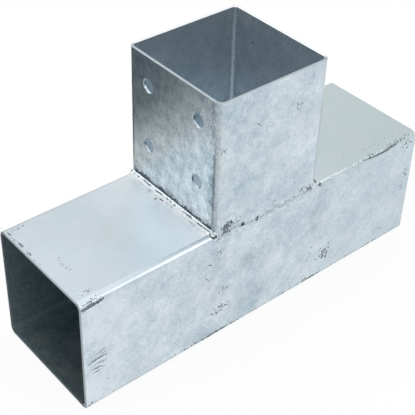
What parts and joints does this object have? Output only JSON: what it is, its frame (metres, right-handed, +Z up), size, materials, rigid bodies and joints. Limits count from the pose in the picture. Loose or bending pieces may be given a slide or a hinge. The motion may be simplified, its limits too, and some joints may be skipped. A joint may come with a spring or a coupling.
{
  "type": "post connector",
  "caption": "Galvanised steel T connector for square timber: an open-ended horizontal sleeve takes a beam and an upright socket welded on top takes a post.",
  "frame": {"origin": "centre of the sleeve's underside", "axes": "+X along the beam sleeve, away from the socket wall with the bolt holes; +Z up, along the post; -Y is the front wall"},
  "size_m": [0.312, 0.0956, 0.199],
  "materials": {
    "galvanised_sheet": "hot-dip galvanised, mottled dull zinc",
    "galvanised_weld": "hot-dip galvanised weld bead"
  },
  "bodies": {
    "root": {"beam_sleeve": "galvanised_sheet", "sleeve_seam_weld": "galvanised_weld", "post_socket": "galvanised_sheet", "socket_seam_weld": "galvanised_weld", "weld_left": "galvanised_weld", "weld_right": "galvanised_weld", "weld_front": "galvanised_weld", "weld_back": "galvanised_weld"}
  },
  "joints": []
}
